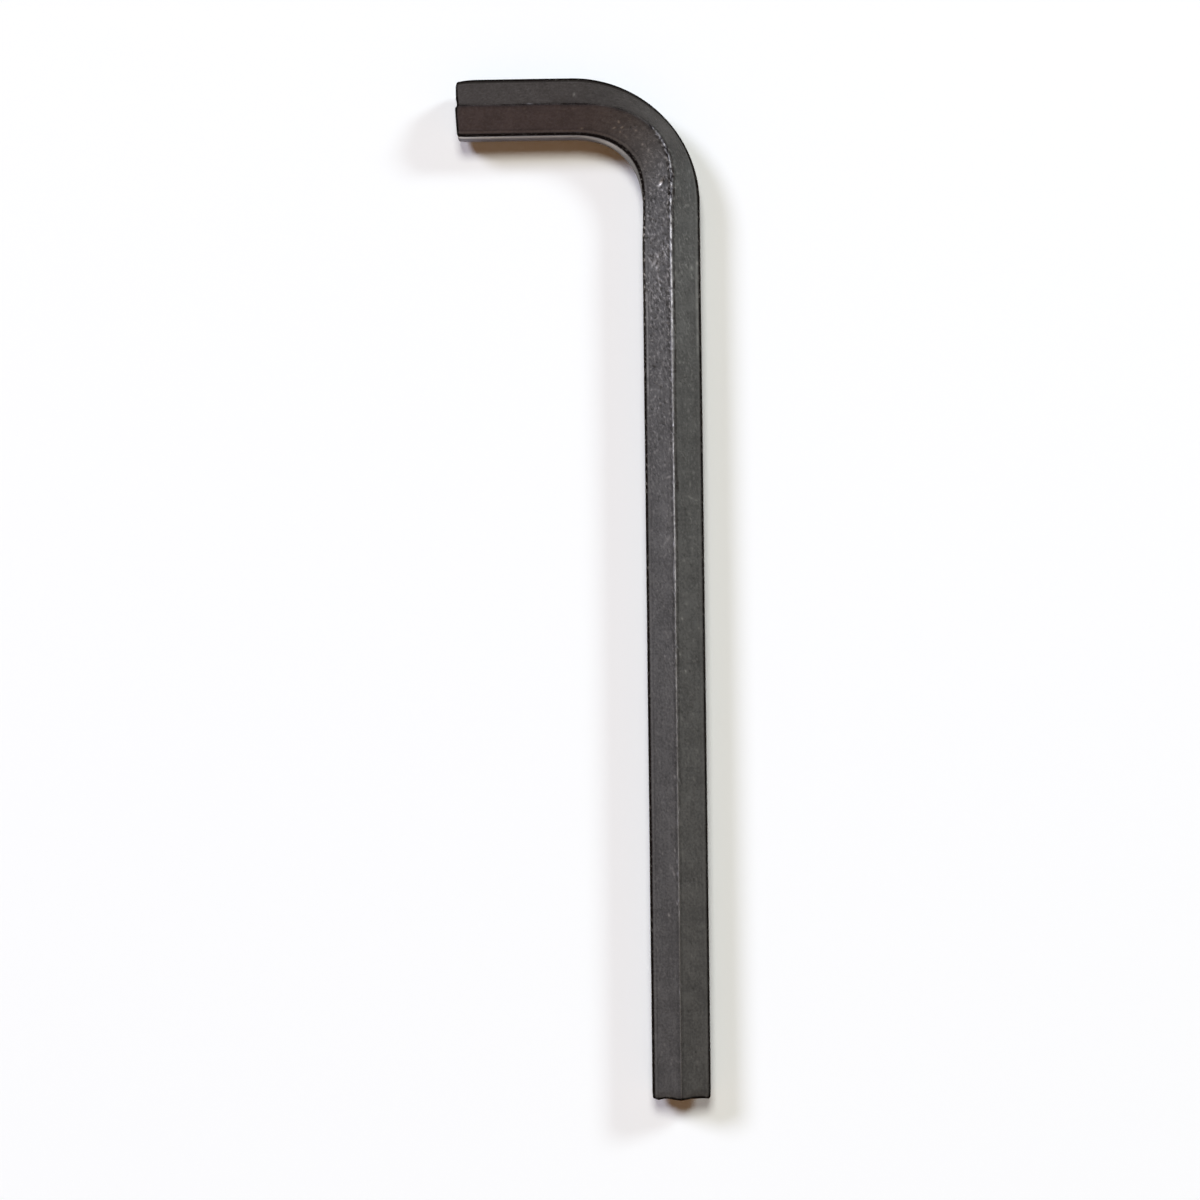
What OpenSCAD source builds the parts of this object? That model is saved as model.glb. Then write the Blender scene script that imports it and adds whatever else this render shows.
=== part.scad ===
// L-shaped hex key: one length of rounded hexagonal steel bar, bent through a right angle.
// It lies flat, as it comes to rest: the arms are in the XY plane, a pair of flats faces the
// inside and the outside of the bend, and one corner of the hexagon points straight up.
// The origin is at the bottom centre of the key's box. The long arm runs along Y on the +X side,
// and the short arm points to -X at the +Y end.

/* [Bar] */
// Size of the key: distance between opposite flats of the hexagon
across_flats = 10; // [6:0.5:14]
// Radius that is rolled along each of the bar's six long corners
corner_radius = 0.8; // [0.1:0.05:1.2]

/* [Arms] */
// Overall length of the long arm, from its tip to the outer flat of the short arm
long_arm = 176; // [100:1:300]
// Overall length of the short arm, from its tip to the outer flat of the long arm
short_arm = 42; // [36:1:70]

/* [Bend] */
// Radius of the flat on the inside of the bend
inner_bend_radius = 12; // [8:0.5:16]

/* [Ends] */
// Depth to which the corners are broken where the bar is cut off
end_break = 0.3; // [0.1:0.05:0.8]

/* [Hidden] */
$fn = 96;

BEND_ANGLE = 90;
// A hexagon's corners stand this many degrees apart
CORNER_STEP = 60;
// Each rounded corner is an arc of this many steps. The number is even, so that one step ends
// at the corner's very top.
ARC_STEPS = 6;
// How far a cutting shape runs past what it cuts
OVERRUN = 1;

centre_bend_radius = inner_bend_radius + across_flats / 2;
outer_bend_radius = inner_bend_radius + across_flats;

// Distance from the bar's axis to the centre of each corner's arc, and to the top of that arc
arc_centre_radius = (across_flats / 2 - corner_radius) / cos(CORNER_STEP / 2);
corner_reach = arc_centre_radius + corner_radius;

// The straight runs are what the bend leaves of each arm
long_run = long_arm - outer_bend_radius;
short_run = short_arm - outer_bend_radius;

function direction(angle) = [cos(angle), sin(angle)];

// The angle of each corner, with the first one pointing up
function corner_angle(corner) = 90 + corner * CORNER_STEP;

// How far each step of a corner's arc lies from the middle of that arc
function arc_angle(step) = CORNER_STEP * (step / ARC_STEPS - 1 / 2);

// The bar's section: six flats that run tangent into an arc at every corner.
// Local Y is up in the finished key, and local X points to the outside of the bend.
module bar_section() {
    polygon([
        for (corner = [0:5], step = [0:ARC_STEPS])
            arc_centre_radius * direction(corner_angle(corner))
            + corner_radius * direction(corner_angle(corner) + arc_angle(step))
    ]);
}

// A turned envelope whose far end is a 45 degree cone. It takes end_break off the corners at
// the cut, and it stays clear of the rest of the run.
module broken_end(run) {
    clear_radius = corner_reach + OVERRUN;
    rotate_extrude()
        polygon([
            [0, -OVERRUN],
            [clear_radius, -OVERRUN],
            [clear_radius, run - end_break - OVERRUN],
            [corner_reach - end_break, run],
            [0, run]
        ]);
}

// A straight run of bar along local Z, from the bend to the cut end
module straight_run(run) {
    intersection() {
        linear_extrude(height = run)
            bar_section();
        broken_end(run);
    }
}

// The bend: the same section swept round the bend's centre, so that the inner and outer flats
// turn into cylinders and the sloping flats into cones
module bend() {
    rotate_extrude(angle = BEND_ANGLE)
        translate([centre_bend_radius, 0])
            bar_section();
}

module hex_key() {
    color("dimgray")
        translate([
            short_arm / 2 - outer_bend_radius,
            long_arm / 2 - outer_bend_radius,
            corner_reach
        ])
            union() {
                bend();
                translate([centre_bend_radius, 0, 0])
                    rotate([90, 0, 0])
                        straight_run(long_run);
                rotate([0, 0, BEND_ANGLE])
                    translate([centre_bend_radius, 0, 0])
                        rotate([-90, 0, 0])
                            straight_run(short_run);
            }
}

hex_key();
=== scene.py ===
"""Dresses the hex key and lights it as the photograph does.

The CAD bar is replaced by one swept mesh of the same section, arms and bend. The mesh adds what
the real key shows: the ridge and the inner corners that the bend pulled out of place, the sheared
ends, the dents and pits, and the bright wear along the upper ridge.

Lengths are in millimetres until place() turns them into metres in the CAD model's frame.
"along" runs down the bar's axis from the tip of the long arm. "around" runs round the section
from the upper ridge, positive to the outside of the bend and negative to its inside. In a
section, u points to the outside of the bend and w points up.
"""

import math

import bpy
import numpy as np
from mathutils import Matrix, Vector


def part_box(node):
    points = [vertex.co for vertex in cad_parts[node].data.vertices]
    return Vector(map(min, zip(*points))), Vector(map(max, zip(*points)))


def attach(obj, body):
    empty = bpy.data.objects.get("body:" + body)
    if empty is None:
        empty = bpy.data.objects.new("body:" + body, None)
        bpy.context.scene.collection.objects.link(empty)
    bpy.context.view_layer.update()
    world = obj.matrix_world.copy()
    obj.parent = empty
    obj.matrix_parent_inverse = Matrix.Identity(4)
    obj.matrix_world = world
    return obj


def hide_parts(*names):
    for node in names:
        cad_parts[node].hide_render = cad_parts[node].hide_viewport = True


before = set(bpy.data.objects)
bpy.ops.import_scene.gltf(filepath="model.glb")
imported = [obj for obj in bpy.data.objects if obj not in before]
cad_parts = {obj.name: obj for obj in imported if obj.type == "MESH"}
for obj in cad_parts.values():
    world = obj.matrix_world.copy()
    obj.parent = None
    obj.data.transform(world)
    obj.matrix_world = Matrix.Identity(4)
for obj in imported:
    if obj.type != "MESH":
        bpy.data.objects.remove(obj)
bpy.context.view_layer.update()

MM = 0.001

# The bar, as the CAD model has it. The arms' lengths come from the box of the CAD node.
ACROSS_FLATS = 10.0
CORNER_RADIUS = 0.8
INNER_BEND_RADIUS = 12.0
node_low, node_high = [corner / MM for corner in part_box("hex_key")]
FLAT = ACROSS_FLATS / 2
SIDES = 6
HALF_CORNER = math.radians(30)
REACH = (FLAT - CORNER_RADIUS) / math.cos(HALF_CORNER) + CORNER_RADIUS
CORNER_HEIGHT = FLAT * math.tan(HALF_CORNER)
BEND_RADIUS = INNER_BEND_RADIUS + FLAT
BEND_CENTRE = (node_high.x - FLAT - BEND_RADIUS, node_high.y - FLAT - BEND_RADIUS)
AXIS_HEIGHT = node_low.z + REACH
LONG_RUN = BEND_CENTRE[1] - node_low.y
BEND_LENGTH = BEND_RADIUS * math.pi / 2
SHORT_RUN = BEND_CENTRE[0] - node_low.x
BAR_LENGTH = LONG_RUN + BEND_LENGTH + SHORT_RUN

# Corners count anticlockwise from the lowest one, so the upper ridge is number 3. Flat number k
# follows corner number k. The distance round the section from one corner to the next is PITCH.
RIDGE_CORNER = 3
PITCH = 2 * (FLAT - CORNER_RADIUS) * math.tan(HALF_CORNER) + 2 * CORNER_RADIUS * HALF_CORNER

# The mesh is finest where the wear is: on the two upper flats, and near the bend and the cuts.
# It has this many columns on each flat and corner, and these rows: (start, end, spacing)
FLAT_COLUMNS = (5, 7, 18, 28, 7, 5)
CORNER_COLUMNS = (4, 4, 6, 10, 6, 4)
CAP_RINGS = 9
ROW_ZONES = (
    (0, 1, 0.1),
    (1, 12, 0.3),
    (12, 60, 0.5),
    (60, 104, 0.32),
    (104, 176, 0.16),
    (176, 197, 0.3),
    (197, BAR_LENGTH, 0.1),
)

rng = np.random.default_rng(seed=7)


def smooth_step(x, low, high):
    """0 below low, 1 above high, and a smooth rise between them."""
    t = np.clip((x - low) / (high - low), 0, 1)
    return t * t * (3 - 2 * t)


def hump(x, start, peak, end):
    """0 outside start and end, 1 at peak, with a cosine shape on each side."""
    side = np.where(x < peak, (peak - x) / (peak - start), (x - peak) / (end - peak))
    return np.cos(np.clip(side, 0, 1) * math.pi / 2) ** 2


def between(x, rise, fall):
    """1 between two smooth edges. rise and fall hold where each edge starts and ends."""
    return smooth_step(x, *rise) * (1 - smooth_step(x, *fall))


def bell(x, middle, width):
    """1 in the middle and near 0 two widths away."""
    return np.exp(-(((x - middle) / width) ** 2))


def profile(x, points):
    """A line through (place, value) points."""
    places, values = zip(*points)
    return np.interp(x, places, values)


def soft_noise(along, around, step_along, step_around):
    """Smooth random values from -1 to 1 that change over about one step each way."""
    x = (along - along.min()) / step_along
    y = (around - around.min()) / step_around
    lattice = rng.uniform(-1, 1, (int(x.max()) + 2, int(y.max()) + 2))
    i = x.astype(int)
    j = y.astype(int)
    fx = smooth_step(x - i, 0, 1)
    fy = smooth_step(y - j, 0, 1)
    near = lattice[i, j] * (1 - fx) + lattice[i + 1, j] * fx
    far = lattice[i, j + 1] * (1 - fx) + lattice[i + 1, j + 1] * fx
    return near * (1 - fy) + far * fy


def bar_rows():
    """The places of the mesh's rows along the bar."""
    rows = []
    for start, end, spacing in ROW_ZONES:
        count = round((end - start) / spacing)
        rows.append(np.linspace(start, end, count, endpoint=False))
    rows.append([BAR_LENGTH])
    return np.concatenate(rows)


def section_columns():
    """For each column: the corner that it belongs to, its angle from that corner's middle, and
    how far it lies along the flat to the next corner. The first column is at the lowest corner."""
    columns = []
    for k in range(SIDES):
        for angle in np.linspace(-HALF_CORNER, HALF_CORNER, CORNER_COLUMNS[k] + 1):
            columns.append((k, angle, 0.0))
        for part in np.linspace(0, 1, FLAT_COLUMNS[k] + 2)[1:-1]:
            columns.append((k, HALF_CORNER, part))
    first_half = CORNER_COLUMNS[0] // 2
    columns = np.roll(np.array(columns), -first_half, axis=0)
    return columns[:, 0].astype(int), columns[:, 1], columns[:, 2]


def corner_direction(corner):
    """The angle of a corner's middle, with corner 0 pointing down."""
    return np.radians(360 / SIDES * corner - 90)


def section_points(radius):
    """The rounded hexagon. radius holds the corner radius of each row and corner."""
    corner, angle, part = section_columns()

    def on_corner(k, a):
        r = radius[:, k]
        middle = corner_direction(k)
        out = np.minimum((FLAT - r) / math.cos(HALF_CORNER), REACH - r)
        return (
            out * np.cos(middle) + r * np.cos(middle + a),
            out * np.sin(middle) + r * np.sin(middle + a),
        )

    u, w = on_corner(corner, angle)
    following = (corner + 1) % SIDES
    u_next, w_next = on_corner(following, np.full(len(corner), -HALF_CORNER))
    return u + (u_next - u) * part, w + (w_next - w) * part


def section_directions():
    """The outward direction at each column."""
    corner, angle, _ = section_columns()
    facing = corner_direction(corner) + angle
    return np.cos(facing), np.sin(facing)


def around_of_columns():
    """The distance round the section of each column from the upper ridge, with one more value
    that closes the seam at the lowest corner."""
    u, w = section_points(np.full((1, SIDES), CORNER_RADIUS))
    steps = np.hypot(np.diff(u[0], append=u[0][0]), np.diff(w[0], append=w[0][0]))
    run = np.concatenate([[0], np.cumsum(steps)])
    return run[-1] / 2 - run


def place(along, u, w):
    """Puts points of the straight bar where the bent bar has them, in metres."""
    turn = np.clip((along - LONG_RUN) / BEND_RADIUS, 0, math.pi / 2)
    before = np.minimum(along - LONG_RUN, 0)
    after = np.maximum(along - LONG_RUN - BEND_LENGTH, 0)
    x = BEND_CENTRE[0] + (BEND_RADIUS + u) * np.cos(turn) - after
    y = BEND_CENTRE[1] + (BEND_RADIUS + u) * np.sin(turn) + before
    return np.stack([x, y, AXIS_HEIGHT + w], -1) * MM


def bend_degrees(along):
    """How far round the bend a place is: 0 at the long arm and 90 at the short arm."""
    return np.degrees((along - LONG_RUN) / BEND_RADIUS)


# Cold bending pulls the ridges and the inner corners outwards. It squeezes the inside of the bar
# thicker, hollows its outer flat, and draws in the inner flat where the bend begins.
RIDGE_SHIFT = 1.88
INNER_FLAT_SHARE = 0.16
SHIFT_POWER = 1.6
OUTER_HOLLOW = 0.2
HOLLOW_START = 0.7
THICKENING = 0.5
BEND_SHIFT_ANGLES = (-4, 38, 90)
NECK_DEPTH = 0.17
NECK_PLACES = (146, 153, 158)


def bend_deform(along, u, w):
    """Moves the section's points as cold bending does."""
    amount = hump(bend_degrees(along), *BEND_SHIFT_ANGLES)
    height = np.abs(w) / REACH
    lift = INNER_FLAT_SHARE + (1 - INNER_FLAT_SHARE) * height**SHIFT_POWER
    outside = np.clip(u / FLAT, 0, 1)
    inside = np.clip(-u / FLAT, 0, 1)
    shift = RIDGE_SHIFT * amount * lift * (1 - outside**2)
    hollow = np.clip(1 - (w / CORNER_HEIGHT) ** 2, 0, 1) * smooth_step(outside, HOLLOW_START, 1)
    shift = shift - OUTER_HOLLOW * amount * hollow
    shift = shift + NECK_DEPTH * hump(along, *NECK_PLACES) * inside
    rise = -THICKENING * amount * u * w / BEND_RADIUS * (1 - height**4)
    return u + shift, w + rise


# The upper ridge is keen at both ends of the bar, and rubbed blunt near the bend. Where it is
# keener than the CAD model's corners it stands no higher.
RIDGE_RADIUS = (
    (0, 0.35), (60, 0.35), (90, 0.4), (122, 0.45), (129, 0.65), (134, 0.5), (165, 0.45),
    (172, 0.35), (201, 0.35),
)


def corner_radii(along):
    """The corner radius of each row and corner."""
    radius = np.full((len(along), SIDES), CORNER_RADIUS)
    radius[:, RIDGE_CORNER] = profile(along, RIDGE_RADIUS)
    return radius


# How far the cuts fall short of a flat end, across the bar: (u, depth)
LONG_TIP_CUT = (
    (-5.0, 0.25), (-3.9, 0.02), (-2.9, 0.25), (-2.2, 0.26), (-1.2, 0.1), (0.0, 0.0),
    (0.9, 0.1), (1.6, 0.24), (3.3, 0.24), (4.6, 0.15), (5.0, 0.28),
)
SHORT_TIP_CUT = (
    (-5.0, 0.36), (-4.4, 0.13), (-1.8, 0.03), (-0.35, 0.0), (0.0, 0.32),
    (0.3, 0.35), (1.4, 0.12), (3.7, 0.02), (5.0, 0.2),
)
# In its lower half the cut has this share of its depth, and it falls back towards the bottom
CUT_LOWER_SHARE = 0.45
CUT_UPPER_HALF = (-2, 3)
CUT_FALLS_BACK = 0.1
# The cut's shape fades out over this length of bar
CUT_FADE = 3.0
# Each end: rounded edge, and a slight taper that the shears left
EDGE_ROUND = 0.28
TAPER = 0.14
TAPER_LENGTH = 1.8
# The outer side of the short tip is rolled over
ROLLED_DEPTH = 0.26
ROLLED_LENGTH = 3.5


def cut_depth(cut, u, w):
    """How far the cut's face lies behind its foremost point."""
    upper = CUT_LOWER_SHARE + (1 - CUT_LOWER_SHARE) * smooth_step(w, *CUT_UPPER_HALF)
    lower = CUT_FALLS_BACK * smooth_step(-w, 1, REACH)
    return profile(u, cut) * upper + lower


def shape_ends(along, u, w):
    """Gives both ends their sheared shape."""
    from_short_tip = BAR_LENGTH - along
    near = np.minimum(along, from_short_tip)
    rounding = np.clip(EDGE_ROUND - near, 0, EDGE_ROUND)
    fall = EDGE_ROUND - np.sqrt(EDGE_ROUND**2 - rounding**2)
    fall = fall + TAPER * np.clip(1 - near / TAPER_LENGTH, 0, 1) ** 2
    size = np.hypot(u, w)
    u = u * (1 - fall / size)
    w = w * (1 - fall / size)
    rolled = ROLLED_DEPTH * np.clip(1 - from_short_tip / ROLLED_LENGTH, 0, 1) ** 1.5
    u = u - rolled * np.clip(u / FLAT, 0, 1) ** 2
    long_share = np.clip(1 - along / CUT_FADE, 0, 1)
    short_share = np.clip(1 - from_short_tip / CUT_FADE, 0, 1)
    along = along + cut_depth(LONG_TIP_CUT, u, w) * long_share
    along = along - cut_depth(SHORT_TIP_CUT, u, w) * short_share
    return along, u, w


# A stroke is worked out this many times its size from its middle
STROKE_REACH = 2.5
# Above 1, a dark place stays whole where its ragged edge would break it up
DARKEST = 1.4
# A step of noise that is longer than the way round the bar
ALL_ROUND = 50
# Marks on the upper flats end this far from the ridge
FLAT_EDGE = 4.6
# Where the upper flats give way to the flats below them
LOWER_FLATS = (5.6, 6.8)


class Skin:
    """What the surface has on top of its form, for each row and column: how far it stands out in
    millimetres, and how far it is worn to bare metal, darkened or battered. 0 is not at all, and
    1 is wholly."""

    def __init__(self, along, around):
        self.along = along
        self.around = around
        self.rows = along[:, None]
        self.columns = around[None, :]
        self.inside = self.columns < 0
        self.outside = self.columns > 0
        shape = (len(along), len(around))
        self.rise = np.zeros(shape)
        self.bare = np.zeros(shape)
        self.dark = np.zeros(shape)
        self.battered = np.zeros(shape)

    def noise(self, step_along, step_around):
        grid_along = np.broadcast_to(self.rows, self.rise.shape)
        grid_around = np.broadcast_to(self.columns, self.rise.shape)
        return soft_noise(grid_along, grid_around, step_along, step_around)

    def stroke(self, along, around, length, width, turn, height, tone):
        """One soft spot or stroke. turn is in degrees from the bar's length towards the outside.
        tone is positive for bare metal, negative for dark and 0 for neither."""
        reach = STROKE_REACH * max(length, width)
        first, last = np.searchsorted(self.along, (along - reach, along + reach))
        rows = slice(first, last)
        off_along = self.rows[rows] - along
        off_around = self.columns - around
        c = math.cos(math.radians(turn))
        s = math.sin(math.radians(turn))
        lengthwise = bell(off_along * c + off_around * s, 0, length)
        spot = lengthwise * bell(off_around * c - off_along * s, 0, width)
        self.rise[rows] += height * spot
        layer = self.bare if tone > 0 else self.dark
        layer[rows] = np.maximum(layer[rows], abs(tone) * spot)


# Along the ridge: how bright and how wide the wear is, how dark the strips beside it are, and
# where the ridge itself is a dark line. The dark strips and the dark line are painted shade, which
# takes away the highlight that the ridge's rounding would catch.
RIDGE_SHINE = (
    (25, 0.0), (31, 0.11), (60, 0.16), (84, 0.26), (90, 0.55), (112, 0.59), (118, 0.26),
    (127, 0.38), (133, 0.58), (150, 0.67), (164, 0.65), (166, 0.15), (170, 0.0),
)
RIDGE_WIDTH = (
    (60, 0.16), (112, 0.18), (121, 0.28), (129, 0.34), (134, 0.23), (158, 0.22), (166, 0.2),
)
RIDGE_SHADE_STRIPS = (
    (30, 0.3), (60, 0.45), (90, 0.6), (118, 0.6), (135, 0.9), (156, 0.9), (164, 0.5), (168, 0.0),
)
RIDGE_SHADE = (
    (0, 0.37), (27, 0.38), (35, 0.36), (60, 0.3), (100, 0.28), (125, 0.25), (160, 0.2),
    (166, 0.5), (178, 0.85), (201, 0.85),
)
RIDGE_SHADE_WIDTH = 0.5
# How far the wear wanders from the ridge, how deep and wide the ridge is worn down, and how far
# from it the dark strips lie
RIDGE_WANDER = 0.07
RIDGE_WORN_DOWN = 0.05
RIDGE_WORN_WIDTH = 0.35
STRIP_PLACE = 0.62
STRIP_WIDTH = 0.17
# Near the foot a thin dark line runs beside the ridge
FOOT_LINE = ((0, 0.36), (12, 0.36), (22, 0.2), (34, 0.0))
FOOT_LINE_PLACE = 0.3
FOOT_LINE_WIDTH = 0.16
# How dark the gaps in the bright line are. They lie where a noise passes GAP_EDGE, and over
# GAPS_OPEN more of them open.
RIDGE_GAPS = (
    (40, 0.0), (60, 0.3), (118, 0.4), (126, 0.2), (135, 0.45), (152, 0.6), (156, 1.0),
    (165, 1.0), (168, 0.0),
)
GAPS_OPEN = (150, 157)
GAPS_OPENED = 0.25
GAP_EDGE = (0.12, 0.6)


def wear_ridge(skin):
    """The upper ridge, rubbed bright near the bend and dark far from it. The dark line on it and
    the dark strips beside it are painted shade that takes away the highlight of its rounding.
    """
    along = skin.rows
    across = skin.columns + RIDGE_WANDER * skin.noise(4, ALL_ROUND)
    uneven = 0.8 + 0.3 * skin.noise(1.1, ALL_ROUND)
    uneven = uneven * (0.85 + 0.45 * skin.noise(0.4, ALL_ROUND))
    width = profile(along, RIDGE_WIDTH) * (1 + 0.3 * skin.noise(1.5, ALL_ROUND))
    shine = profile(along, RIDGE_SHINE)
    skin.bare += shine * uneven * bell(across, 0, width)
    skin.rise -= RIDGE_WORN_DOWN * shine * bell(across, 0, RIDGE_WORN_WIDTH)
    # Painted shade: two dark strips beside the ridge
    strips = profile(along, RIDGE_SHADE_STRIPS) * (0.8 + 0.5 * skin.noise(0.8, 1.2))
    skin.dark += strips * bell(across, STRIP_PLACE, STRIP_WIDTH)
    skin.dark += 0.7 * strips * bell(across, -STRIP_PLACE, 1.5 * STRIP_WIDTH)
    # Painted shade: a dark line along the ridge itself
    darkness = profile(along, RIDGE_SHADE) * (0.95 + 0.25 * skin.noise(1.5, ALL_ROUND))
    skin.dark += profile(along, FOOT_LINE) * bell(across, FOOT_LINE_PLACE, FOOT_LINE_WIDTH)
    opened = GAPS_OPENED * smooth_step(along, *GAPS_OPEN)
    gaps = profile(along, RIDGE_GAPS) * smooth_step(skin.noise(0.4, 0.5) + opened, *GAP_EDGE)
    skin.bare *= 1 - 0.8 * gaps
    skin.dark += (darkness + gaps) * bell(across, 0, RIDGE_SHADE_WIDTH)


# The side corners: a black outer line, which is painted shade along the outline, a faint dark
# line inside it and, between the two, a thin worn line that is bright only in these stretches:
# (start, end)
INNER_CORNER_WORN = (119, 140)
OUTER_CORNER_WORN = (126, 145)
WORN_LINE_PLACE = 4.92
WORN_LINE_FAINT = 0.08
WORN_LINE_BRIGHT = 0.6
FAINT_LINE_PLACE = 4.62
FAINT_LINE_DARK = 0.3
THIN_LINE_WIDTH = 0.13
SHADED_OUTLINE_START = (5.08, 5.34)
SHADED_OUTLINE_END = (5.62, 5.92)
# On the outside of the bend the black line is narrower, and on the short arm it is wider again
SHADED_OUTLINE_NARROWED = 0.1
SHADED_OUTLINE_WIDENED = 0.4
SHADED_OUTLINE_WIDENS = (150, 175)


def wear_and_shade_side_corners(skin):
    along = skin.rows
    off = np.abs(skin.columns)
    patchy = 0.75 + 0.35 * skin.noise(1.8, 1.5)
    widening = SHADED_OUTLINE_WIDENED * smooth_step(along, *SHADED_OUTLINE_WIDENS)
    widening = (widening - SHADED_OUTLINE_NARROWED) * skin.outside
    # The black outer line is painted shade along the outline of the bar
    painted_outline_shade = smooth_step(off + widening, *SHADED_OUTLINE_START)
    painted_outline_shade = painted_outline_shade * (1 - smooth_step(off, *SHADED_OUTLINE_END))
    skin.dark += painted_outline_shade * (1.25 + 0.2 * skin.noise(1.8, 1.5))
    skin.dark += FAINT_LINE_DARK * bell(off, FAINT_LINE_PLACE, THIN_LINE_WIDTH) * patchy
    for side, (start, end) in ((-1, INNER_CORNER_WORN), (1, OUTER_CORNER_WORN)):
        stretch = between(along, (start, start + 3), (end - 3, end))
        bright = WORN_LINE_BRIGHT * stretch * (0.6 + 0.5 * skin.noise(0.9, ALL_ROUND))
        line = bell(skin.columns, side * WORN_LINE_PLACE, THIN_LINE_WIDTH)
        skin.bare += np.clip(WORN_LINE_FAINT + bright, 0, 1) * line


# The black edge round the cuts is painted shade along the outline of the ends. It is full up to
# the first distance from the cut, and ends at the second. Its darkness is given for the upper
# flats and for the lower ones.
CUT_OUTLINE_SHADE = (0.27, 0.52)
CUT_OUTLINE_SHADE_UPPER = 1.3
CUT_OUTLINE_SHADE_LOWER = 0.45


def shade_cut_outlines(skin):
    """A black edge round both cuts, painted shade along their outline, blackest on the two upper
    flats.
    """
    from_cut = np.minimum(skin.rows, BAR_LENGTH - skin.rows) + 0.08 * skin.noise(0.5, 1)
    lower = smooth_step(np.abs(skin.columns), *LOWER_FLATS)
    amount = CUT_OUTLINE_SHADE_UPPER + (CUT_OUTLINE_SHADE_LOWER - CUT_OUTLINE_SHADE_UPPER) * lower
    # The painted shade round the outline of both cuts
    skin.dark += (1 - smooth_step(from_cut, *CUT_OUTLINE_SHADE)) * amount


# A painted reflection of the lit floor: along the upper half of the flat on the inside of the
# short arm, a pale band of bare steel, paler towards its tip
REFLECTION_BAND_LOW = (-8.1, -7.1)
REFLECTION_BAND_HIGH = (-6.1, -5.9)
REFLECTION_BAND_START = (158, 172)
REFLECTION_BAND_SHINE = ((188, 0.5), (196, 0.82))


def painted_reflection_band(skin):
    (start, shine), (end, tip_shine) = REFLECTION_BAND_SHINE
    shine = shine + (tip_shine - shine) * smooth_step(skin.rows, start, end)
    band = between(skin.columns, REFLECTION_BAND_LOW, REFLECTION_BAND_HIGH)
    band = band * smooth_step(skin.rows, *REFLECTION_BAND_START)
    # Paler steel that paints the floor's reflection onto the flat
    skin.bare += shine * band * (0.9 + 0.3 * skin.noise(3, 0.8))


# Painted shade: where the inner and the outer upper flat are made a little darker, most of all in
# the bend, where the lamps would light them too brightly
INNER_PAINTED_SHADE = (
    (0, 0.06), (60, 0.04), (80, 0.0), (100, 0.0), (116, 0.05), (126, 0.0), (150, 0.0),
    (158, 0.2), (166, 0.28), (174, 0.18), (182, 0.08), (201, 0.06),
)
OUTER_PAINTED_SHADE = (
    (0, 0.0), (60, 0.02), (80, 0.05), (100, 0.1), (116, 0.18), (126, 0.1), (141, 0.05),
    (150, 0.08), (158, 0.24), (170, 0.28), (178, 0.16), (201, 0.11),
)
# Beside the ridge, the inner flat is a little paler in the middle of the long arm
PALE_BESIDE_RIDGE = (80, 104, 132)
PALE_PLACE = -1.6
PALE_WIDTH = 1.3
PALE_SHINE = 0.04
# Specks: how many, where along the bar, how large, and how strong the pale and dark ones are
SPECKS = 420
SPECK_ALONG = (5, 160)
SPECK_SIZE = (0.1, 0.22)
PALE_SPECK_SHARE = 0.35
PALE_SPECK_TONE = (0.1, 0.3)
DARK_SPECK_TONE = (0.2, 0.6)


def shade_flats_and_speck(skin):
    """Slow painted shade along the bar, a paler stretch beside the ridge, and small specks on its
    upper flats.
    """
    # Painted shade on the inner and the outer upper flat
    skin.dark += profile(skin.rows, INNER_PAINTED_SHADE) * skin.inside
    skin.dark += profile(skin.rows, OUTER_PAINTED_SHADE) * skin.outside
    pale = hump(skin.rows, *PALE_BESIDE_RIDGE) * bell(skin.columns, PALE_PLACE, PALE_WIDTH)
    skin.bare += PALE_SHINE * pale * (0.8 + 0.7 * skin.noise(2.5, 1))
    for _ in range(SPECKS):
        along = rng.uniform(*SPECK_ALONG)
        around = rng.uniform(-FLAT_EDGE, FLAT_EDGE)
        size = rng.uniform(*SPECK_SIZE)
        if rng.random() < PALE_SPECK_SHARE:
            tone = rng.uniform(*PALE_SPECK_TONE)
        else:
            tone = -rng.uniform(*DARK_SPECK_TONE)
        skin.stroke(along, around, 1.5 * size, size, rng.normal(0, 30), 0.0, tone)


# How battered the two upper flats are along the bar, most of all on the inner one by the bend
INNER_BATTERED = (
    (0, 0.1), (40, 0.14), (60, 0.15), (85, 0.25), (112, 0.35), (120, 0.42), (134, 0.62),
    (142, 1.0), (152, 0.8), (158, 0.4), (163, 0.2), (168, 0.1), (201, 0.08),
)
OUTER_BATTERED = (
    (0, 0.06), (60, 0.12), (120, 0.16), (142, 0.3), (156, 0.2), (165, 0.1), (201, 0.08),
)
# The lower flats are less battered by this share
LOWER_SPARED = 0.65
# The inner flat is rubbed a little paler where it is battered most
RUBBED_PALE = (126, 144, 160)
RUBBED_SHINE = 0.035
# Dents: where they may lie, how large they are, and how they are turned (mean and spread)
DENT_TRIES = 700
DENT_ALONG = (112, 172)
DENT_LENGTH = (0.15, 0.36)
DENT_WIDTH = (0.09, 0.16)
DENT_TURN = (-20, 50)
BURR_SHARE = 0.45
# Height and tone of the strongest burr and of the strongest pit
BURR = (0.025, 0.7)
PIT = (-0.04, -0.95)


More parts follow.
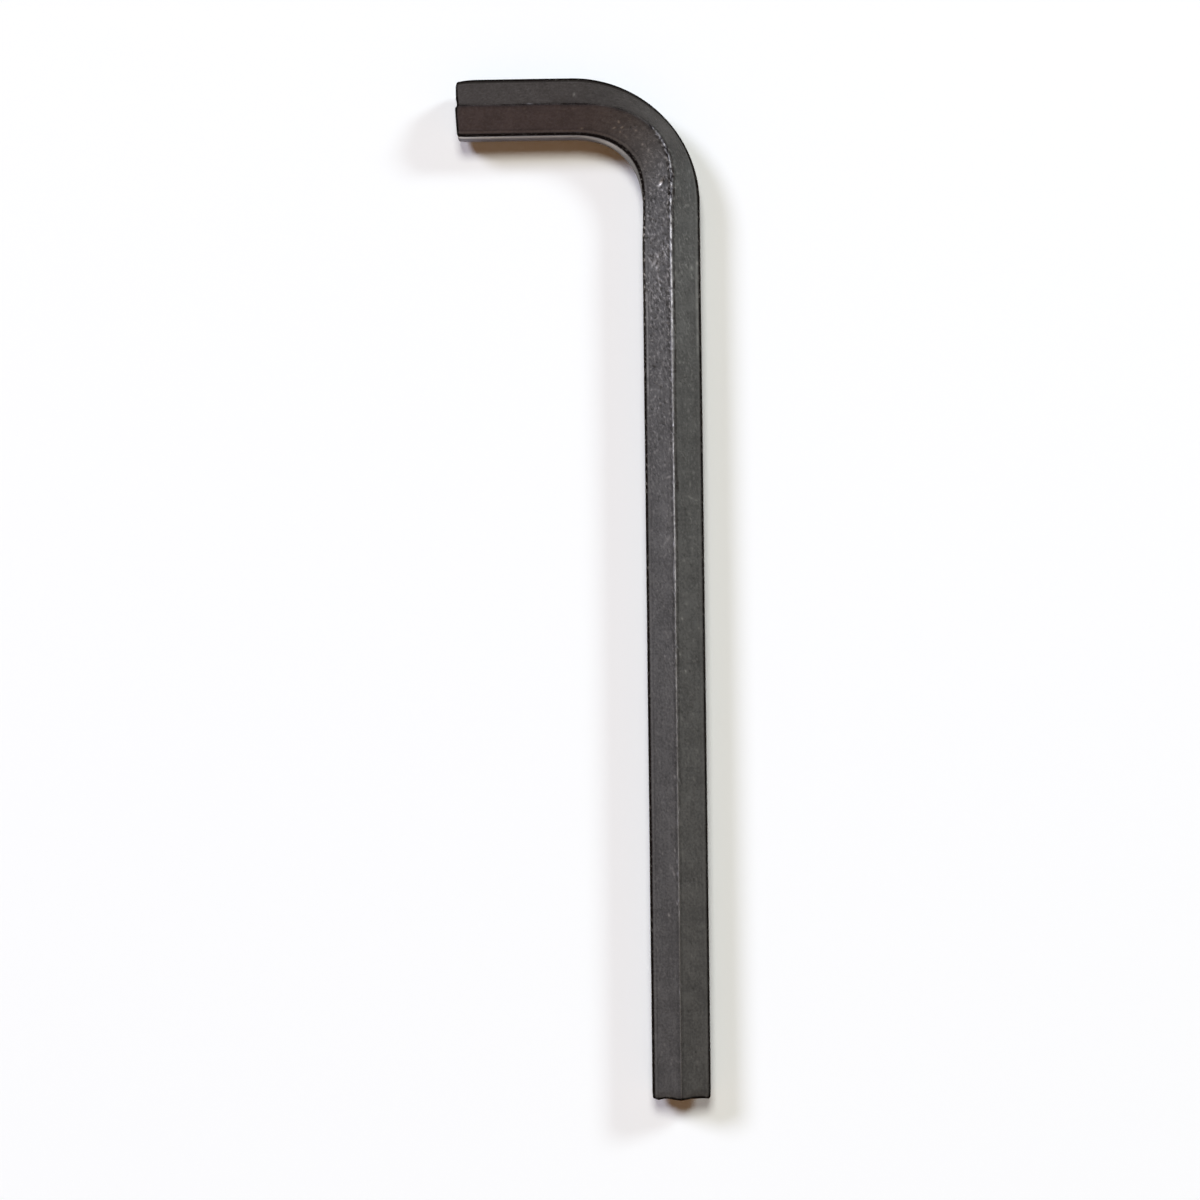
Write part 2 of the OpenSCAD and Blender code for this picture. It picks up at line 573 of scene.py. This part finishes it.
def batter_flats(skin):
    """A battered surface, with small burrs and pits, most of them slanted the same way."""
    inner = profile(skin.rows, INNER_BATTERED) * skin.inside
    outer = profile(skin.rows, OUTER_BATTERED) * skin.outside
    patches = 0.7 + 0.6 * skin.noise(1.7, 1.1) + 0.5 * skin.noise(5, 2)
    spared = LOWER_SPARED * smooth_step(np.abs(skin.columns), *LOWER_FLATS)
    skin.battered += (inner + outer) * np.clip(patches, 0, 1) * (1 - spared)
    skin.bare += RUBBED_SHINE * hump(skin.rows, *RUBBED_PALE) * skin.inside
    for _ in range(DENT_TRIES):
        along = rng.uniform(*DENT_ALONG)
        around = rng.uniform(-FLAT_EDGE, -0.5)
        length = rng.uniform(*DENT_LENGTH)
        width = rng.uniform(*DENT_WIDTH)
        turn = rng.normal(*DENT_TURN)
        strength = rng.uniform(0.25, 1.0) ** 1.5
        height, tone = BURR if rng.random() < BURR_SHARE else PIT
        if rng.random() < profile(along, INNER_BATTERED):
            skin.stroke(along, around, length, width, turn, height * strength, tone * strength)


# Chips along the ridge: how many, and where, at the bend and on the long arm
BEND_CHIPS = 110
BEND_CHIPS_ALONG = (154, 166.5)
ARM_CHIPS = 70
ARM_CHIPS_ALONG = (30, 155)


def chip_ridge(skin):
    """Chips where the ridge leaves the bend, and finer ones here and there on the long arm."""
    for _ in range(BEND_CHIPS):
        along = rng.uniform(*BEND_CHIPS_ALONG)
        around = rng.normal(0.05, 0.3)
        length = rng.uniform(0.12, 0.3)
        depth = rng.uniform(0.02, 0.06)
        tone = rng.uniform(0.2, 0.55) if rng.random() < 0.5 else -0.8
        skin.stroke(along, around, length, 0.12, rng.normal(0, 25), -depth, tone)
    for _ in range(ARM_CHIPS):
        along = rng.uniform(*ARM_CHIPS_ALONG)
        around = rng.normal(0, 0.2)
        length = rng.uniform(0.12, 0.4)
        tone = rng.uniform(0.15, 0.5)
        skin.stroke(along, around, length, 0.09, rng.normal(0, 12), -0.015, tone)


# Single marks on the upper flats and the ridge, each one a stroke: (along, around, length, width,
# turn, height, tone)
SINGLE_MARKS = (
    # the bright dent by the bend, with its shadow
    (157.5, -1.9, 0.5, 0.35, 30, -0.14, 0.0),
    (157.4, -2.2, 0.42, 0.22, 30, 0.0, 1.0),
    (157.7, -1.6, 0.55, 0.15, 25, 0.0, -1.0),
    (158.5, -2.1, 0.3, 0.14, 70, 0.0, -0.9),
    (156.6, -2.1, 0.25, 0.14, 60, 0.0, -0.8),
    # the inner flat, beside the bend
    (147.7, -3.9, 0.2, 0.18, 0, 0.03, 0.6),
    (145.7, -1.8, 0.3, 0.2, 20, 0.03, 0.6),
    (146.1, -0.8, 0.3, 0.14, 0, 0.02, 0.7),
    (144.6, -2.7, 0.45, 0.19, 20, -0.04, 0.9),
    (143.4, -3.5, 0.65, 0.23, 35, -0.05, 1.0),
    (142.7, -2.8, 0.6, 0.2, 30, -0.05, 1.0),
    (143.3, -3.0, 0.5, 0.13, 32, -0.06, -1.0),
    (144.0, -4.2, 0.7, 0.13, -35, -0.03, 0.45),
    (140.8, -2.7, 0.9, 0.2, -10, 0.02, 0.5),
    (141.1, -0.9, 0.4, 0.15, 0, 0.02, 0.7),
    (138.8, -2.6, 0.7, 0.2, 0, 0.02, 0.4),
    (135.2, -4.3, 0.22, 0.14, 0, 0.0, 0.55),
    (130.5, -2.1, 0.4, 0.2, 15, 0.0, 0.35),
    (121.7, -2.6, 0.4, 0.26, 20, -0.04, -0.6),
    (118.7, -2.7, 0.3, 0.2, 0, -0.03, -0.5),
    (118.5, -4.95, 0.3, 0.14, 0, 0.0, 0.55),
    # a knot in the ridge, and a dark gouge beside it
    (115.2, 0.0, 0.24, 0.2, 0, 0.02, 1.0),
    (114.8, 0.6, 0.6, 0.16, 0, -0.05, -0.9),
    (104.9, 0.78, 1.5, 0.3, 0, -0.05, -1.0),
    # the inner flat, in the middle of the arm
    (111.1, -0.9, 0.35, 0.2, 0, 0.0, 0.45),
    (108.4, -1.9, 0.2, 0.16, 0, 0.0, 0.45),
    (108.2, -4.0, 0.22, 0.18, 0, 0.0, 0.5),
    (106.3, -1.2, 0.5, 0.2, 70, 0.02, 0.5),
    (95.5, -1.6, 1.3, 0.17, 40, -0.02, 0.4),
    (90.0, -0.45, 1.6, 0.1, 0, 0.0, 0.4),
    (55.0, -0.75, 0.3, 0.14, 40, 0.0, 0.5),
    (41.4, -1.0, 0.25, 0.12, 0, 0.0, 0.4),
    (39.7, -1.8, 0.25, 0.14, 0, 0.0, 0.35),
    (38.5, -1.1, 0.3, 0.2, 0, -0.02, 0.45),
    (38.6, -0.5, 0.2, 0.14, 0, 0.0, 0.45),
    (33.6, -0.6, 0.25, 0.15, 0, 0.0, 0.6),
    (31.5, -2.2, 0.2, 0.2, 0, 0.0, 0.7),
    (42.5, -0.9, 0.3, 0.14, 20, 0.0, 0.5),
    (40.6, -0.5, 0.35, 0.14, 0, 0.0, 0.5),
    (39.2, -1.4, 0.3, 0.16, -20, 0.0, 0.45),
    (6.5, -4.6, 0.6, 0.16, 25, 0.0, -0.45),
    (7.6, -4.3, 0.5, 0.14, 25, 0.0, -0.3),
    # the outer flat
    (143.4, 5.1, 0.4, 0.14, 0, -0.03, 0.85),
    (142.5, 4.0, 0.35, 0.22, 0, 0.0, 0.4),
    (141.5, 0.85, 0.35, 0.1, 0, 0.0, 0.4),
    (105.1, 3.3, 0.5, 0.14, 0, 0.0, 0.35),
    (103.0, 2.9, 0.24, 0.14, 0, 0.0, 0.4),
    (102.6, 3.8, 1.3, 0.1, -72, -0.01, 0.3),
    (96.0, 3.1, 0.24, 0.12, 0, 0.0, 0.35),
    (82.0, 1.4, 0.25, 0.18, 0, 0.0, 0.5),
    (76.0, 0.95, 0.25, 0.18, 0, 0.0, 0.4),
    (73.0, 2.0, 0.2, 0.18, 0, 0.0, 0.5),
    (54.3, 0.5, 0.3, 0.14, -30, 0.0, 0.5),
    (49.6, 0.5, 0.25, 0.12, 0, 0.0, 0.55),
    (37.0, 3.9, 0.9, 0.25, 0, 0.0, -0.3),
    (29.2, 2.4, 1.1, 0.08, 84, -0.01, 0.35),
    # small nicks in the dark part of the ridge
    (18.4, -0.3, 0.3, 0.12, 0, 0.0, 0.35),
    (9.4, 0.15, 0.3, 0.16, 0, -0.04, -0.6),
    # the bend and the short arm
    (168.8, -1.6, 0.25, 0.2, 0, -0.04, -0.6),
    (168.2, -2.1, 0.18, 0.16, 0, 0.0, 0.4),
    (180.1, 2.05, 0.42, 0.12, 80, -0.05, 0.85),
    (178.4, -4.5, 0.3, 0.12, 0, 0.0, 0.45),
    (187.8, 0.3, 0.4, 0.12, 0, 0.0, 0.4),
)


# The drawn bar is never quite flat: slow waves and finer ones
SLOW_WAVES = 0.012
FINE_WAVES = 0.006


def build_skin(along, around):
    skin = Skin(along, around)
    skin.rise += SLOW_WAVES * skin.noise(9, 2.2) + FINE_WAVES * skin.noise(2.5, 0.9)
    wear_ridge(skin)
    wear_and_shade_side_corners(skin)
    shade_cut_outlines(skin)
    painted_reflection_band(skin)
    shade_flats_and_speck(skin)
    batter_flats(skin)
    chip_ridge(skin)
    for mark in SINGLE_MARKS:
        skin.stroke(*mark)
    skin.bare = np.clip(skin.bare, 0, 1)
    skin.dark = np.clip(skin.dark, 0, DARKEST)
    skin.battered = np.clip(skin.battered, 0, 1)
    return skin


# The cut faces have their own places on the surface's map, clear of the bar's, and one darkness
LONG_CAP_PLACE = -40.0
SHORT_CAP_PLACE = -80.0
CUT_DARKNESS = 0.25


class BarMesh:
    """Collects rings of points and joins them into one closed mesh."""

    def __init__(self):
        self.points = []
        self.layers = []
        self.count = 0
        self.quads = []
        self.quad_maps = []
        self.fans = []
        self.fan_maps = []

    def ring(self, points, bare, dark, battered):
        start = self.count
        self.points.append(points)
        self.layers.append(np.stack([bare, dark, battered], -1))
        self.count += len(points)
        return start

    def join(self, first, second, first_map, second_map):
        """Quads between two rings. A map has one more place than the ring has points."""
        size = len(first_map) - 1
        here = np.arange(size)
        there = (here + 1) % size
        corners = (first + here, second + here, second + there, first + there)
        places = (first_map[:-1], second_map[:-1], second_map[1:], first_map[1:])
        self.quads.append(np.stack(corners, -1))
        self.quad_maps.append(np.stack(places, 1))

    def close(self, ring, ring_map, point, middle_map, forward):
        """A fan from a ring to a point in its middle."""
        size = len(ring_map) - 1
        here = np.arange(size)
        there = (here + 1) % size
        middle = np.full(size, point)
        corners = [ring + there, ring + here, middle]
        places = [ring_map[1:], ring_map[:-1], np.broadcast_to(middle_map, (size, 2))]
        if not forward:
            corners = [corners[1], corners[0], corners[2]]
            places = [places[1], places[0], places[2]]
        self.fans.append(np.stack(corners, -1))
        self.fan_maps.append(np.stack(places, 1))

    def build(self, name):
        points = np.concatenate(self.points)
        layers = np.concatenate(self.layers)
        quads = np.concatenate(self.quads)
        fans = np.concatenate(self.fans)
        loops = np.concatenate([quads.ravel(), fans.ravel()])
        sizes = np.concatenate([np.full(len(quads), 4), np.full(len(fans), 3)])
        starts = np.concatenate([[0], np.cumsum(sizes)[:-1]])
        mesh = bpy.data.meshes.new(name)
        mesh.vertices.add(len(points))
        mesh.vertices.foreach_set("co", points.astype(np.float32).ravel())
        mesh.loops.add(len(loops))
        mesh.loops.foreach_set("vertex_index", loops.astype(np.int32))
        mesh.polygons.add(len(sizes))
        mesh.polygons.foreach_set("loop_start", starts.astype(np.int32))
        mesh.update(calc_edges=True)
        mesh.polygons.foreach_set("use_smooth", np.ones(len(sizes), bool))
        quad_maps = np.concatenate(self.quad_maps).reshape(-1, 2)
        fan_maps = np.concatenate(self.fan_maps).reshape(-1, 2)
        places = np.concatenate([quad_maps, fan_maps]).astype(np.float32)
        mesh.uv_layers.new(name="bar").data.foreach_set("uv", places.ravel())
        for column, layer in enumerate(("bare", "dark", "battered")):
            attribute = mesh.attributes.new(layer, "FLOAT", "POINT")
            attribute.data.foreach_set("value", layers[:, column].astype(np.float32))
        mesh.validate()
        return mesh


def cap_layers(count):
    """A cut face is a little dark, neither worn nor battered."""
    return np.zeros(count), np.full(count, CUT_DARKNESS), np.zeros(count)


def add_cap(mesh, edge, along, u, w, cut, map_place, forward):
    """Closes an end with the face of its cut. forward is true at the short arm's tip."""
    sign = -1 if forward else 1
    edge_place = along - sign * cut_depth(cut, u, w)

    def ring_map(share):
        places = np.stack([map_place + u * share, w * share], -1)
        return np.concatenate([places, places[:1]])

    outer = edge
    outer_map = ring_map(1.0)
    for k in range(1, CAP_RINGS):
        share = 1 - k / CAP_RINGS
        depth = cut_depth(cut, u * share, w * share)
        points = place(edge_place + sign * depth, u * share, w * share)
        ring = mesh.ring(points, *cap_layers(len(u)))
        inner_map = ring_map(share)
        if forward:
            mesh.join(outer, ring, outer_map, inner_map)
        else:
            mesh.join(ring, outer, inner_map, outer_map)
        outer = ring
        outer_map = inner_map
    depth = cut_depth(cut, np.zeros(1), np.zeros(1))
    middle = place(edge_place.mean() + sign * depth, np.zeros(1), np.zeros(1))
    point = mesh.ring(middle, *cap_layers(1))
    mesh.close(outer, outer_map, point, (map_place, 0.0), forward)


# Burrs stand no higher than this over the form
HIGHEST_BURR = 0.03


def build_key():
    along = bar_rows()
    around = around_of_columns()
    skin = build_skin(along, around[:-1])
    u, w = section_points(corner_radii(along))
    facing_u, facing_w = section_directions()
    rise = np.minimum(skin.rise, HIGHEST_BURR)
    grid_along = np.repeat(along[:, None], u.shape[1], axis=1)
    u, w = bend_deform(grid_along, u + rise * facing_u, w + rise * facing_w)
    grid_along, u, w = shape_ends(grid_along, u, w)
    points = place(grid_along, u, w)
    # The key stays in the CAD node's box, on which it rests
    lowest, highest = [np.array(corner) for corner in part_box("hex_key")]
    points = np.clip(points, lowest, highest)

    mesh = BarMesh()
    rings = [mesh.ring(*row) for row in zip(points, skin.bare, skin.dark, skin.battered)]
    maps = [np.stack([np.full(len(around), s), around], -1) for s in along]
    for k in range(len(along) - 1):
        mesh.join(rings[k], rings[k + 1], maps[k], maps[k + 1])
    add_cap(mesh, rings[0], grid_along[0], u[0], w[0], LONG_TIP_CUT, LONG_CAP_PLACE, False)
    add_cap(mesh, rings[-1], grid_along[-1], u[-1], w[-1], SHORT_TIP_CUT, SHORT_CAP_PLACE, True)
    key = bpy.data.objects.new("hex_key_bar", mesh.build("hex_key_bar"))
    bpy.context.scene.collection.objects.link(key)
    return key


class Graph:
    """A small helper that adds and links shader nodes."""

    def __init__(self, tree):
        self.tree = tree

    def add(self, kind, inputs=(), **settings):
        node = self.tree.nodes.new(kind)
        for name, value in settings.items():
            setattr(node, name, value)
        for key, value in dict(inputs).items():
            self.feed(node.inputs[key], value)
        return node

    def feed(self, socket, value):
        if isinstance(value, bpy.types.NodeSocket):
            self.tree.links.new(value, socket)
        else:
            socket.default_value = value

    def math(self, operation, a, b=0.0, clamp=False):
        made = self.add("ShaderNodeMath", {0: a, 1: b}, operation=operation, use_clamp=clamp)
        return made.outputs[0]

    def mix_values(self, parts):
        """The sum of (share, value) parts."""
        total = 0.0
        for share, value in parts:
            made = self.add(
                "ShaderNodeMath", {0: value, 1: share, 2: total}, operation="MULTIPLY_ADD"
            )
            total = made.outputs[0]
        return total

    def ramp(self, value, low, high, to_low=0.0, to_high=1.0, shape="SMOOTHSTEP"):
        """Goes from to_low to to_high where value goes from low to high."""
        inputs = {"Value": value, "From Min": low, "From Max": high}
        inputs.update({"To Min": to_low, "To Max": to_high})
        made = self.add("ShaderNodeMapRange", inputs, interpolation_type=shape)
        return made.outputs["Result"]

    def blend(self, share, a, b):
        made = self.add("ShaderNodeMix", {"Factor": share}, data_type="RGBA")
        self.feed(made.inputs[6], a)
        self.feed(made.inputs[7], b)
        return made.outputs[2]

    def blend_values(self, share, a, b):
        made = self.add("ShaderNodeMix", {"Factor": share}, data_type="FLOAT")
        self.feed(made.inputs[2], a)
        self.feed(made.inputs[3], b)
        return made.outputs[0]

    def noise(self, place, scale, detail, roughness):
        made = self.add(
            "ShaderNodeTexNoise",
            {"Vector": place, "Scale": scale, "Detail": detail, "Roughness": roughness},
            noise_dimensions="2D",
        )
        return made.outputs["Fac"]

    def stretch(self, place, factors, turn=0.0):
        made = self.add(
            "ShaderNodeMapping",
            {"Vector": place, "Scale": factors, "Rotation": (0, 0, math.radians(turn))},
        )
        return made.outputs["Vector"]

    def layer(self, name):
        return self.add("ShaderNodeAttribute", attribute_name=name).outputs["Fac"]


# Colours of the steel, as Principled base colours of a metal. Deep and pale are the two ends of
# the oxide's pattern.
OXIDE_DEEP = (0.12, 0.113, 0.107, 1)
OXIDE_PALE = (0.175, 0.165, 0.155, 1)
OXIDE_BROWN_DEEP = (0.12, 0.102, 0.095, 1)
OXIDE_BROWN_PALE = (0.158, 0.137, 0.129, 1)
OXIDE_PLUM_DEEP = (0.12, 0.106, 0.117, 1)
OXIDE_PLUM_PALE = (0.162, 0.143, 0.158, 1)
CUT_OXIDE = (0.11, 0.102, 0.098, 1)
# The dark layer: oxide in pits, hollows and specks, and painted shade on outlines, ridge and flats
DARK_OXIDE_AND_SHADE = (0.007, 0.005, 0.0045, 1)
RIDGE_STEEL = (0.58, 0.572, 0.635, 1)
FLAT_STEEL = (0.64, 0.59, 0.54, 1)
# Where the tints of the short arm come in along the bar, where plum gives way to brown at the
# ridge, and how far from the ridge the bare steel is that of the flats
TINTS_START = (160.0, 184.0)
PLUM_TO_BROWN = (-0.4, 0.4)
RIDGE_TO_FLAT = (0.35, 0.7)
# The slant of the battered flecks, in degrees, and their steps per millimetre each way
FLECK_SLANT = 18
FLECK_SCALE = (1.15, 2.5, 1)
# How bare the flecks' crests are, and how dark it is between them
CREST_SHARE = 0.7
HOLLOW_SHARE = 0.95
# Even bare steel keeps a trace of the oxide
BARE_SHARE = 0.85
ROUGH_OXIDE = (0.46, 0.54)
ROUGH_DARK = 0.65
ROUGH_BARE = 0.38
BUMP_DEPTH = 0.03 * MM


def oxide_patterns(graph, bar):
    """Blotches, fine grain and faint drawing lines along the bar."""
    blotch = graph.noise(bar, 0.3, 4.0, 0.62)
    grain = graph.noise(bar, 2.4, 3.0, 0.7)
    lines = graph.noise(graph.stretch(bar, (0.09, 1.7, 1)), 1.0, 3.0, 0.6)
    return blotch, grain, lines


def oxide_colour(graph, shade, along, around):
    """Grey on the long arm. On the short arm it is plum towards the inside and brown towards the
    outside."""
    grey = graph.blend(shade, OXIDE_DEEP, OXIDE_PALE)
    brown = graph.blend(shade, OXIDE_BROWN_DEEP, OXIDE_BROWN_PALE)
    plum = graph.blend(shade, OXIDE_PLUM_DEEP, OXIDE_PLUM_PALE)
    tinted = graph.blend(graph.ramp(around, *PLUM_TO_BROWN), plum, brown)
    return graph.blend(graph.ramp(along, *TINTS_START), grey, tinted)


def worn_layers(graph, bar, fleck, battered):
    """How dark and how bare the surface is. Both layers have ragged edges, and the battered
    places add flecks, light on their crests and dark between them."""
    crest = graph.math("MULTIPLY", graph.ramp(fleck, 0.54, 0.69), battered)
    hollow = graph.math("MULTIPLY", graph.ramp(fleck, 0.47, 0.3), battered)
    speckle = graph.noise(bar, 4.5, 2.0, 0.6)
    ragged = graph.ramp(speckle, 0.0, 1.0, 0.4, 1.6, shape="LINEAR")
    dark = graph.math("MULTIPLY", graph.layer("dark"), ragged, clamp=True)
    dark = graph.math("MAXIMUM", dark, graph.math("MULTIPLY", hollow, HOLLOW_SHARE))
    bare = graph.math("MULTIPLY", graph.layer("bare"), ragged, clamp=True)
    bare = graph.math("MAXIMUM", bare, graph.math("MULTIPLY", crest, CREST_SHARE))
    return dark, bare


def black_oxide_steel():
    material = bpy.data.materials.new("black_oxide_steel")
    material.use_nodes = True
    graph = Graph(material.node_tree)
    shader = material.node_tree.nodes["Principled BSDF"]
    bar = graph.add("ShaderNodeUVMap", uv_map="bar").outputs["UV"]
    axes = graph.add("ShaderNodeSeparateXYZ", {0: bar})
    along = axes.outputs["X"]
    around = axes.outputs["Y"]

    blotch, grain, lines = oxide_patterns(graph, bar)
    tone = graph.mix_values(((0.42, blotch), (0.42, grain), (0.16, lines)))
    colour = oxide_colour(graph, graph.ramp(tone, 0.36, 0.64), along, around)

    # Both cut faces, which lie below 0 on the map: sheared lines across a plain oxide
    is_cut = graph.ramp(along, -15.0, -16.0)
    shear = graph.noise(graph.stretch(bar, (2.2, 0.35, 1)), 1.0, 3.0, 0.6)
    cut_colour = graph.blend(graph.ramp(shear, 0.35, 0.65), CUT_OXIDE, OXIDE_PALE)
    colour = graph.blend(is_cut, colour, cut_colour)

    battered = graph.layer("battered")
    slanted = graph.stretch(bar, (1, 1, 1), FLECK_SLANT)
    fleck = graph.noise(graph.stretch(slanted, FLECK_SCALE), 1.0, 2.5, 0.6)
    dark, bare = worn_layers(graph, bar, fleck, battered)
    colour = graph.blend(dark, colour, DARK_OXIDE_AND_SHADE)
    from_ridge = graph.math("ABSOLUTE", around)
    steel = graph.blend(graph.ramp(from_ridge, *RIDGE_TO_FLAT), RIDGE_STEEL, FLAT_STEEL)
    colour = graph.blend(graph.math("MULTIPLY", bare, BARE_SHARE), colour, steel)
    graph.feed(shader.inputs["Base Color"], colour)

    # Dark places, both dark oxide and painted shade, are matte and swallow the light, also at a
    # grazing angle
    matte_dark = graph.ramp(dark, 0.45, 0.95)
    graph.feed(shader.inputs["Metallic"], graph.math("SUBTRACT", 1.0, matte_dark))
    shader.inputs["Specular IOR Level"].default_value = 0.0
    rough = graph.ramp(grain, 0.3, 0.7, *ROUGH_OXIDE)
    rough = graph.blend_values(dark, rough, ROUGH_DARK)
    rough = graph.blend_values(bare, rough, ROUGH_BARE)
    graph.feed(shader.inputs["Roughness"], rough)

    relief = graph.mix_values(((0.3, blotch), (0.5, grain), (0.2, lines)))
    relief = graph.mix_values(((1.0, relief), (1.6, graph.math("MULTIPLY", fleck, battered))))
    relief = graph.blend_values(is_cut, relief, graph.math("MULTIPLY", shear, 2.5))
    bump = graph.add("ShaderNodeBump", {"Height": relief, "Distance": BUMP_DEPTH, "Strength": 0.8})
    graph.feed(shader.inputs["Normal"], bump.outputs["Normal"])
    return material


FLOOR_COLOUR = (0.975, 0.983, 0.992, 1)
# In metres, far enough to meet the horizon
FLOOR_REACH = 40.0


def floor():
    reach = FLOOR_REACH
    mesh = bpy.data.meshes.new("floor")
    corners = [(-reach, -reach, 0), (reach, -reach, 0), (reach, reach, 0), (-reach, reach, 0)]
    mesh.from_pydata(corners, [], [(0, 1, 2, 3)])
    made = bpy.data.objects.new("floor", mesh)
    bpy.context.scene.collection.objects.link(made)
    material = bpy.data.materials.new("white_paper")
    material.use_nodes = True
    shader = material.node_tree.nodes["Principled BSDF"]
    shader.inputs["Base Color"].default_value = FLOOR_COLOUR
    shader.inputs["Roughness"].default_value = 1.0
    shader.inputs["Specular IOR Level"].default_value = 0.0
    mesh.materials.append(material)
    return made


# The soft boxes lean forward by this angle, which keeps the floor evenly lit
PANEL_TILT = math.radians(50)
# The light of a box is summed over a disc, on a grid with this many steps each way
DISC_STEPS = 40
# Each soft box: name, height in metres, its left and right edges and its near and far edges as
# slopes seen from the key, its part of the light on the floor, and its colour
PANELS = (
    ("left_panel", 2.6, (-0.98, -0.46), (0.3, 0.7), 0.358, (0.778, 0.828, 1.0)),
    ("right_panel", 1.4, (0.78, 1.3), (0.48, 0.88), 0.18, (0.826, 0.948, 1.0)),
    ("top_panel", 2.6, (-0.13, 0.13), (0.14, 0.42), 0.46, (0.994, 1.0, 0.932)),
)


def panel_radiance(middle_x, middle_y, width, depth, share):
    """How bright a box has to be, seen from the key, to give its share of the light."""
    steps = (np.arange(DISC_STEPS) + 0.5) * 2 / DISC_STEPS - 1
    disc_x, disc_y = [part.ravel() for part in np.meshgrid(steps, steps)]
    inside = disc_x**2 + disc_y**2 < 1
    slope_x = middle_x + disc_x[inside] * width / 2
    slope_y = middle_y + disc_y[inside] * depth / 2
    seen = ((1 + slope_x**2 + slope_y**2) ** -2).mean() * math.pi / 4 * width * depth
    return share * math.pi / seen


def panel(name, height, lean_x, lean_y, share, colour):
    """A round soft box over the key, tilted to the front, from one row of PANELS."""
    width = lean_x[1] - lean_x[0]
    depth = lean_y[1] - lean_y[0]
    middle_x = sum(lean_x) / 2
    middle_y = sum(lean_y) / 2
    radiance = panel_radiance(middle_x, middle_y, width, depth, share)
    data = bpy.data.lights.new(name, "AREA")
    data.shape = "ELLIPSE"
    data.size = width * height
    data.size_y = depth * height / (math.cos(PANEL_TILT) + middle_y * math.sin(PANEL_TILT))
    data.energy = radiance * math.pi * math.pi / 4 * data.size * data.size_y
    data.color = colour
    lamp = bpy.data.objects.new(name, data)
    lamp.location = (middle_x * height, middle_y * height, height)
    lamp.rotation_euler = (-PANEL_TILT, 0, 0)
    bpy.context.scene.collection.objects.link(lamp)
    return lamp


ROOM_BACK = (0.02, 0.02, 0.022, 1)
ROOM_FRONT_LOW = (0.19, 0.15, 0.118, 1)
ROOM_FRONT_HIGH = (0.44, 0.205, 0.05, 1)
HORIZON = (0.6, 0.6, 0.6, 1)
# Where the room changes, by the Y and Z of the direction that it is seen in: from back to front,
# from low to high, and from the horizon up
FRONT_EDGE = (0.15, -0.5)
HIGH_EDGE = (0.5, 0.9)
HORIZON_EDGE = (0.04, 0.09)


def studio_world():
    """A dim room, warm in front of the key, with a pale band where the floor meets it."""
    world = bpy.data.worlds.new("studio")
    bpy.context.scene.world = world
    world.use_nodes = True
    graph = Graph(world.node_tree)
    background = world.node_tree.nodes["Background"]
    direction = graph.add("ShaderNodeTexCoord").outputs["Generated"]
    axes = graph.add("ShaderNodeSeparateXYZ", {0: direction})
    toward_front = graph.ramp(axes.outputs["Y"], *FRONT_EDGE)
    upwards = graph.ramp(axes.outputs["Z"], *HIGH_EDGE)
    front = graph.blend(upwards, ROOM_FRONT_LOW, ROOM_FRONT_HIGH)
    room = graph.blend(toward_front, ROOM_BACK, front)
    above = graph.ramp(axes.outputs["Z"], *HORIZON_EDGE)
    graph.feed(background.inputs["Color"], graph.blend(above, HORIZON, room))
    return world


# The photograph's own view, fitted to the key's outline in it: the lens and the sensor's width in
# millimetres, the camera's place and its turn in degrees
LENS = 120
SENSOR_WIDTH = 36
CAMERA_PLACE = (23.84, -37.94, 694.31)
CAMERA_TURN = (2.9385, 1.7727, -0.6417)


def camera():
    data = bpy.data.cameras.new("photo_camera")
    data.sensor_width = SENSOR_WIDTH
    data.lens = LENS
    data.clip_start = 0.01
    data.clip_end = 100
    made = bpy.data.objects.new("photo_camera", data)
    made.location = [part * MM for part in CAMERA_PLACE]
    made.rotation_euler = [math.radians(angle) for angle in CAMERA_TURN]
    bpy.context.scene.collection.objects.link(made)
    bpy.context.scene.camera = made
    return made


key = build_key()
key.data.materials.append(black_oxide_steel())
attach(key, "root")
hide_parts("hex_key")
floor()
for box in PANELS:
    panel(*box)
studio_world()
camera()
bpy.context.scene.view_settings.view_transform = "Standard"
